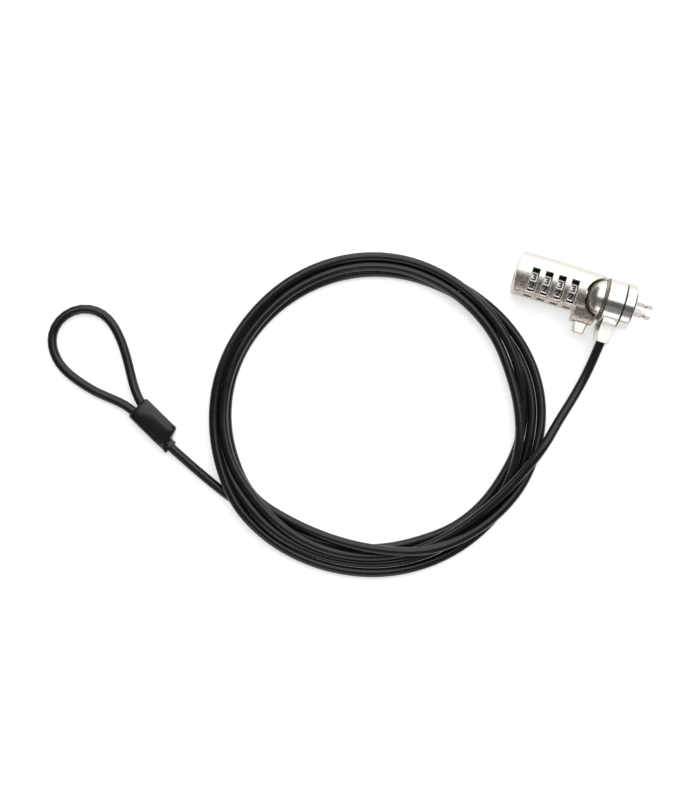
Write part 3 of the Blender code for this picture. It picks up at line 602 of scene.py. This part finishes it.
def window_outline(x, grow=0.0):
    """A dial window seen from above, square at its upper end and rounded at its lower end."""
    left, right = x - WINDOW_HALF_WIDTH - grow, x + WINDOW_HALF_WIDTH + grow
    low, high = WINDOW_Y[0] - grow, WINDOW_Y[1] + grow
    corner = WINDOW_CORNER
    return ([(left, high), (left, low + corner)]
            + arc((left + corner, low + corner), corner, 180, 270, 5)[1:]
            + arc((right - corner, low + corner), corner, 270, 360, 5) + [(right, high)])


def cut_windows(housing):
    """Each dial's window in the top, the round pocket that it turns in, and the thumb slot in the side."""
    pocket = arc((DIAL_Y, DIAL_Z), DIAL_RADIUS + 0.0002, 0, 360, 60)[:-1]
    slot = [(-0.0100, 0.0062), (-0.0060, 0.0062), (-0.0060, 0.0106), (-0.0100, 0.0106)]
    for x in DIAL_XS:
        boolean(housing, "DIFFERENCE", prism(window_outline(x), 0.0100, 0.0190))
        for outline in (pocket, slot):
            cutter = prism(outline, x - WINDOW_HALF_WIDTH, x + WINDOW_HALF_WIDTH, "X")
            boolean(housing, "DIFFERENCE", cutter)


def make_housing():
    housing = mesh_object("housing_shell", loft(housing_rows()))
    boss = [(-0.0050, 0.0016), (-0.0116, 0.0016), (-0.0120, 0.0021), (-0.0120, 0.0112), (-0.0116, 0.0118),
            (-0.0092, 0.0128), (-0.0067, 0.01372), (-0.0050, 0.01435)]
    boolean(housing, "UNION", prism(boss, 0.0120, 0.0212, "X"))
    plan = [(-0.0200, -0.0200), (0.0205, -0.0200), (0.0205, -0.0118), (0.0214, -0.0088), (0.0214, 0.0200),
            (-0.0200, 0.0200)]
    boolean(housing, "INTERSECT", prism(plan, -0.001, 0.020))
    scoop = arc(SCOOP_CENTRE, SCOOP_RADIUS, 0, 360, 96)[:-1]
    boolean(housing, "DIFFERENCE", prism(scoop, -0.001, 0.020))
    chamber = [(-0.0066, 0.0010), (-0.0066, 0.0106), (-0.0048, 0.0128), (-0.0010, 0.0142), (0.0050, 0.0142),
               (0.0050, 0.0010)]
    boolean(housing, "DIFFERENCE", prism(chamber, -0.0122, 0.0110, "X"))
    recess = [(-0.0143, -0.0063), (0.0107, -0.0063), (0.0107, 0.0091), (-0.0143, 0.0091)]
    boolean(housing, "DIFFERENCE", prism(recess, -0.001, 0.0017))
    cut_windows(housing)
    shank_bore = arc((0.0, AXIS_Z), 0.0035, 0, 360, 40)[:-1]
    boolean(housing, "DIFFERENCE", prism(shank_bore, 0.0100, 0.0160, "X"))
    reset_bore = arc((DIAL_Y, DIAL_Z), 0.0022, 0, 360, 40)[:-1]
    boolean(housing, "DIFFERENCE", prism(reset_bore, -0.0190, -0.0110, "X"))
    button_bore = [(0.0130, -0.0140), (0.0192, -0.0140), (0.0192, -0.0088), (0.0130, -0.0088)]
    boolean(housing, "DIFFERENCE", prism(button_bore, 0.0053, 0.0107))
    boolean(housing, "DIFFERENCE", stem_rod(STEM_HOLE_RADIUS, -0.0092, -0.0040))
    soften(housing, 0.00018, 2, 40)
    link(housing, satin_nickel("housing_nickel"), "lock_body", "housing")


def make_window_rims():
    """A raised lip round the lower end of each dial window."""
    curve = bpy.data.curves.new("window_rims", "CURVE")
    curve.dimensions = "3D"
    curve.bevel_depth = RIM_RADIUS
    curve.bevel_resolution = 3
    curve.use_fill_caps = True
    for x in DIAL_XS:
        outline = window_outline(x, 0.00022)
        left, right = outline[0][0], outline[-1][0]
        points = [(left, -0.0005), (left, -0.0025)] + outline[1:-1] + [(right, -0.0025), (right, -0.0005)]
        spline = curve.splines.new("POLY")
        spline.points.add(len(points) - 1)
        for place, (a, b) in zip(spline.points, points):
            place.co = (a, b, crown_height(b) + 0.00002, 1.0)
    rims = bpy.data.objects.new("window_rims", curve)
    link(rims, polished_plate("rim_plate", (0.93, 0.90, 0.84), 0.42), "lock_body")


# ---- The dials ----
def dial_outline():
    """The wheel's outline, as (y, z): ten flats for the digits, with a ridge between each two."""
    points = []
    for digit in range(10):
        flat = [LAND_HALF_TURN * (i / 4 - 1) for i in range(9)]
        offsets = [(-18.0, 0.0), (-16.0, 0.0)] + [(offset, LAND_DEPTH) for offset in flat] + [(16.0, 0.0)]
        for offset, depth in offsets:
            turn = radians(36 * digit + offset - DIGIT_TURN)
            radius = DIAL_RADIUS - depth
            points.append((DIAL_Y + radius * sin(turn), DIAL_Z + radius * cos(turn)))
    return points


def make_digit(character, x, middle):
    """A printed digit, bent round the wheel: middle is its angle from the top, positive towards -Y."""
    text = bpy.data.curves.new("digit_text", "FONT")
    text.body = character
    text.size = DIGIT_SIZE
    text.align_x = "CENTER"
    text.align_y = "CENTER"
    text.offset = DIGIT_WEIGHT
    text.resolution_u = 3
    source = bpy.data.objects.new("digit_text", text)
    bpy.context.scene.collection.objects.link(source)
    bpy.context.view_layer.update()
    mesh = bpy.data.meshes.new_from_object(source.evaluated_get(bpy.context.evaluated_depsgraph_get()))
    bpy.data.objects.remove(source, do_unlink=True)
    shape = bmesh.new()
    shape.from_mesh(mesh)
    us = [v.co.x for v in shape.verts]
    vs = [v.co.y for v in shape.verts]
    mid_u, mid_v = (min(us) + max(us)) / 2, (min(vs) + max(vs)) / 2
    for height in (-0.0012, -0.0006, 0.0, 0.0006, 0.0012):
        whole = shape.verts[:] + shape.edges[:] + shape.faces[:]
        level = (0, mid_v + height, 0)
        bmesh.ops.bisect_plane(shape, geom=whole, dist=1e-6, plane_co=level, plane_no=(0, 1, 0))
    radius = DIAL_RADIUS - LAND_DEPTH + DIGIT_LIFT
    for v in shape.verts:
        angle = radians(-middle) + (v.co.y - mid_v) / radius
        v.co = Vector((x + v.co.x - mid_u, DIAL_Y + radius * sin(angle), DIAL_Z + radius * cos(angle)))
    return shape


def make_dials():
    metal = wheel_metal("wheel_metal", (0.86, 0.85, 0.82), 0.20)
    # painted shade: a darker copy of the wheel metal for the recessed digit flats, standing in for the dark
    # reflection they catch
    shaded_land_metal = wheel_metal("wheel_land_painted_shade", (0.40, 0.385, 0.37), 0.30)
    paint = digit_paint("digit_black")
    half = DIAL_HALF_WIDTH
    bore = arc((DIAL_Y, DIAL_Z), DIAL_BORE, 0, 360, 48)[:-1]
    for number, x in enumerate(DIAL_XS, 1):
        body = f"dial_{number}_body"
        wheel = mesh_object(f"wheel_{number}", prism(dial_outline(), x - half, x + half, "X"))
        boolean(wheel, "DIFFERENCE", prism(bore, x - 0.003, x + 0.003, "X"))
        soften(wheel, 0.00010, 2, 40)
        link(wheel, metal, body, f"dial_{number}")
        wheel.data.materials.append(shaded_land_metal)
        # faces on the recessed flats take the darker copy, the painted shade
        for face in wheel.data.polygons:
            reach = sqrt((face.center.y - DIAL_Y) ** 2 + (face.center.z - DIAL_Z) ** 2)
            on_rim = abs(face.normal.x) < 0.5 and reach > 0.0050
            face.material_index = int(on_rim and reach < DIAL_RADIUS - 0.00020)
        digits = bmesh.new()
        for k in range(10):
            shape = make_digit(str((2 - k) % 10), x, DIGIT_TURN + 36 * k)
            mesh = bpy.data.meshes.new("digit")
            shape.to_mesh(mesh)
            shape.free()
            digits.from_mesh(mesh)
            bpy.data.meshes.remove(mesh)
        mesh = bpy.data.meshes.new(f"digits_{number}")
        digits.to_mesh(mesh)
        digits.free()
        link(bpy.data.objects.new(f"digits_{number}", mesh), paint, body)


# ---- The head ----
def make_dome():
    """The dome, with its shank behind it and the neck that the ring turns on in front."""
    profile = [(0.0131, 0.0016), (0.0131, SHANK_RADIUS)]
    for step in range(25):
        radius = SHANK_RADIUS + (DOME_RADIUS - SHANK_RADIUS) * sin(radians(90 * step / 24))
        profile.append((DOME_X - DOME_LENGTH * sqrt(max(0.0, 1 - (radius / DOME_RADIUS) ** 2)), radius))
    profile += [(0.02145, 0.00825), (0.02145, NECK_RADIUS), (0.0331, NECK_RADIUS), (0.0331, 0.0047),
                (0.0229, 0.0047), (0.0229, 0.0034), (0.0165, 0.0034), (0.0165, 0.0016)]
    dome = mesh_object("dome_and_neck", turned(profile), 50)
    boolean(dome, "DIFFERENCE", stem_rod(STEM_HOLE_RADIUS, -0.0100, -0.0010))
    dome.data.set_sharp_from_angle(angle=radians(50))
    link(dome, polished_plate("dome_plate", (0.64, 0.62, 0.56), 0.22), "lock_body", "head_core")


def make_washer():
    """The friction washer, with two fine grooves round its rim."""
    profile = ((0.02150, RING_BORE), (0.02150, 0.0086), (0.02172, 0.0088), (0.02176, 0.0083),
               (0.02190, 0.0083), (0.02194, 0.0090), (0.02216, 0.0092), (0.02220, 0.0084), (0.02234, 0.0084),
               (0.02238, 0.0094), (0.02256, 0.0095), (0.02256, RING_BORE))
    washer = mesh_object("washer", turned(profile), 30)
    link(washer, polished_plate("washer_brass", (0.46, 0.39, 0.32), 0.24), "lock_body", "friction_washer")


def make_cap():
    """The head's front part, with a window for the prongs."""
    profile = [(0.0304, RING_BORE), (0.0304, 0.0096), (0.03048, 0.00978), (0.03062, HEAD_RADIUS)]
    profile += arc((0.0338, HEAD_RADIUS - 0.0015), 0.0015, 90, 0, 12)
    profile += [(0.0353, 0.0046), (0.0351, 0.0044), (0.0351, 0.0), (0.0334, 0.0), (0.0334, RING_BORE)]
    cap = mesh_object("cap_shell", turned(profile), 40)
    low, high = AXIS_Z - 0.0016, AXIS_Z + 0.0016
    window = [(-0.0034, low), (0.0041, low), (0.0041, high), (-0.0034, high)]
    boolean(cap, "DIFFERENCE", prism(window, 0.0330, 0.0360, "X"))
    cap.data.set_sharp_from_angle(angle=radians(40))
    link(cap, polished_plate("cap_plate", (0.63, 0.615, 0.575), 0.16), "lock_body", "front_cap")


def lug_section(y, centre, half, top, bottom, face_left, face_right, slope):
    """The lug across at y: a flat top face between face_left and face_right, with chamfered flanks."""
    left, right = centre - half, centre + half
    return [(left, y, bottom + 0.0012), (left + 0.0010, y, bottom), (right - 0.0010, y, bottom),
            (right, y, bottom + 0.0012), (right, y, top - slope), (face_right, y, top), (face_left, y, top),
            (left, y, top - slope)]


def make_collar():
    """The ring, with the lug that holds the cable and the bore that the cable goes into."""
    edge = 0.0003
    start, end = COLLAR_X
    profile = [(start, RING_BORE), (start, HEAD_RADIUS - edge)]
    profile += arc((start + edge, HEAD_RADIUS - edge), edge, 180, 90, 4)[1:]
    profile += arc((end - edge, HEAD_RADIUS - edge), edge, 90, 0, 4) + [(end, RING_BORE)]
    collar = mesh_object("collar_and_lug", turned(profile), 40)
    lug = loft([
        lug_section(-0.0066, 0.02640, 0.0036, 0.0168, 0.0036, 0.02400, 0.02970, 0.0024),
        lug_section(-0.0096, 0.02640, 0.0036, 0.0150, 0.0036, 0.02400, 0.02970, 0.0024),
        lug_section(-0.0113, 0.02625, 0.0038, 0.0139, 0.0036, 0.02395, 0.02970, 0.0024),
        lug_section(-0.0130, 0.02640, 0.0037, 0.0128, 0.0036, 0.02405, 0.02955, 0.0024),
        lug_section(-0.0150, 0.02665, 0.0034, 0.0114, 0.0036, 0.02450, 0.02925, 0.0024),
        lug_section(-0.0164, 0.02685, 0.0032, 0.0104, 0.0037, 0.02510, 0.02885, 0.0022),
        lug_section(-0.0174, 0.02710, 0.0030, 0.0096, 0.0038, 0.02570, 0.02840, 0.0018)])
    boolean(collar, "UNION", lug)
    facing = CABLE_EXIT.to_track_quat("Z", "Y").to_matrix()
    circle = arc((0.0, 0.0), CABLE_BORE_RADIUS, 0, 360, 40)[:-1]
    rings = [[MOUTH + facing @ Vector((a, b, depth)) for a, b in circle] for depth in (-0.0085, 0.0030)]
    boolean(collar, "DIFFERENCE", loft(rings))
    soften(collar, 0.00030, 3, 30)
    link(collar, polished_plate("collar_plate", (0.65, 0.635, 0.595), 0.16), "cable_end", "swivel_collar")


def make_button():
    """The button's tab, tapered outwards, with the stem that goes into the head."""
    x = BUTTON_X
    corner = 0.0008
    plan = [(x - 0.0028, -0.0109), (x - 0.0028, -0.0126), (x - 0.0023, -0.0160)]
    plan += arc((x - 0.0015, -0.0160), corner, 180, 270, 4)[1:]
    plan += arc((x + 0.0015, -0.0160), corner, 270, 360, 4) + [(x + 0.0028, -0.0126), (x + 0.0028, -0.0109)]
    button = mesh_object("button_tab", prism(plan, *BUTTON_Z))
    boolean(button, "UNION", stem_rod(STEM_RADIUS, -0.0120, -0.0036))
    soften(button, 0.00045, 3, 35)
    link(button, polished_plate("button_plate", (0.63, 0.61, 0.565), 0.20), "button", "release_button")


# ---- The loop's sleeve ----
# Its cross-sections: distance along, distance to the side, half width, half height.
SLEEVE_SECTIONS = (
    (0.0, 0.0, 0.0047, 0.0026),
    (0.0003, 0.0, 0.0052, 0.0031),
    (0.0012, 0.0, 0.0055, 0.0034),
    (0.0080, 0.0, 0.0055, 0.0035),
    (0.0158, 0.0, 0.0055, 0.0035),
    (0.0179, 0.0001, 0.0055, 0.0034),
    (0.0186, -0.0003, 0.0051, 0.0033),
    (0.0191, -0.0011, 0.0043, 0.0031),
    (0.0195, -0.0018, 0.0036, 0.0029),
    (0.0200, -0.0023, 0.0031, 0.0027),
    (0.0210, -0.0024, 0.0030, 0.0027),
    (0.0216, -0.0024, 0.0032, 0.0029),
    (0.0223, -0.0024, 0.0032, 0.0029),
    (0.0225, -0.0024, 0.0030, 0.0027),
)
SLEEVE_HALF_HEIGHT = 0.0035
SLEEVE_SQUARENESS = 0.62     # 1 would make the cross-sections ellipses


def make_sleeve():
    """The moulded sleeve: a wide body over the crimp, and a nozzle at one side where the cable comes in."""
    sections = []
    for distance, aside, across, tall in SLEEVE_SECTIONS:
        ring = []
        for i in range(32):
            angle = 2 * pi * i / 32
            a = across * np.sign(cos(angle)) * abs(cos(angle)) ** SLEEVE_SQUARENESS
            b = tall * np.sign(sin(angle)) * abs(sin(angle)) ** SLEEVE_SQUARENESS
            lift = Vector((0, 0, float(b) + tall - SLEEVE_HALF_HEIGHT))
            ring.append(in_sleeve(distance, aside + float(a)) + lift)
        sections.append(ring)
    sleeve = mesh_object("sleeve_moulding", loft(sections), 50)
    link(sleeve, vinyl("sleeve_vinyl"), "cable_end", "loop_sleeve")
    return sleeve


# ---- CAD pieces that stay, with a better finish ----
def finish_cad_pieces():
    """Materials for the CAD pieces that still show, and softer edges where they are seen."""
    steel = plain_steel("pin_steel")
    bright = polished_plate("prong_plate", (0.36, 0.34, 0.32), 0.20)
    nickel = satin_nickel("cover_nickel")
    brass = plain_steel("clutch_brass", (0.72, 0.55, 0.30), 0.28)
    aluminium = plain_steel("crimp_aluminium", (0.75, 0.76, 0.77), 0.30)
    finishes = {"fixed_prong": bright, "hook_arm": bright, "base_cover": nickel, "loop_crimp": aluminium,
                "cable_ferrule": aluminium}
    finishes.update({f"dial_clutch_{i}": brass for i in (1, 2, 3, 4)})
    for name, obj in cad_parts.items():
        if obj.hide_render:
            continue
        material = finishes.get(name, steel)
        obj.data.materials.clear()
        obj.data.materials.append(material)
        if name in ("fixed_prong", "hook_arm"):
            soften(obj, 0.00022, 3)
        if name in ("locking_wedge", "base_cover"):
            soften(obj, 0.00012, 2)


# ---- Camera, floor and lights ----
def make_camera():
    data = bpy.data.cameras.new("camera")
    data.sensor_width = 36.0
    data.sensor_fit = "HORIZONTAL"
    data.lens = CAMERA_LENS
    data.clip_start = 0.01
    camera = bpy.data.objects.new("camera", data)
    camera.location = CAMERA_PLACE
    camera.rotation_euler = (0.0, 0.0, CAMERA_TURN)
    bpy.context.scene.collection.objects.link(camera)
    bpy.context.scene.camera = camera


def make_floor():
    mesh = bpy.data.meshes.new("floor")
    size = FLOOR_HALF_SIZE
    corners = [(-size, -size, 0), (size, -size, 0), (size, size, 0), (-size, size, 0)]
    mesh.from_pydata(corners, [], [(0, 1, 2, 3)])
    floor = bpy.data.objects.new("floor", mesh)
    floor.location = (0, 0, FLOOR_LEVEL)
    mesh.materials.append(floor_paint())
    bpy.context.scene.collection.objects.link(floor)


def area_light(name, place, target, size, power):
    data = bpy.data.lights.new(name, "AREA")
    data.shape = "RECTANGLE"
    data.size, data.size_y = size
    data.energy = power
    light = bpy.data.objects.new(name, data)
    light.location = place
    aim = Vector(target) - Vector(place)
    light.rotation_euler = aim.to_track_quat("-Z", "Y").to_euler()
    bpy.context.scene.collection.objects.link(light)


def make_lights():
    world = bpy.data.worlds.new("studio")
    world.use_nodes = True
    world.node_tree.nodes["Background"].inputs["Color"].default_value = (1.0, 0.98, 0.95, 1.0)
    world.node_tree.nodes["Background"].inputs["Strength"].default_value = 0.15
    bpy.context.scene.world = world
    area_light("softbox_overhead", (-0.05, 0.55, 0.95), (-0.05, 0.25, 0), (1.9, 1.1), 13.0)
    area_light("softbox_back", (-0.05, 1.35, 0.45), (-0.05, 0.0, 0.1), (1.9, 0.9), 10.5)
    area_light("softbox_front", (0.05, -1.25, 0.42), (0.0, 0.0, 0.02), (1.2, 0.60), 3.9)
    area_light("fill_front", (0.0, -1.00, 1.00), (0.0, 0.0, 0.0), (1.6, 0.80), 0.8)


def keep_colours_plain():
    """The Standard view shows the white floor and the plate's contrast as they are."""
    bpy.context.scene.view_settings.view_transform = "Standard"


make_camera()
make_cable()
make_housing()
make_window_rims()
make_dials()
make_dome()
make_washer()
make_cap()
make_collar()
make_button()
finish_cad_pieces()
make_floor()
make_lights()
keep_colours_plain()

bpy.context.view_layer.update()
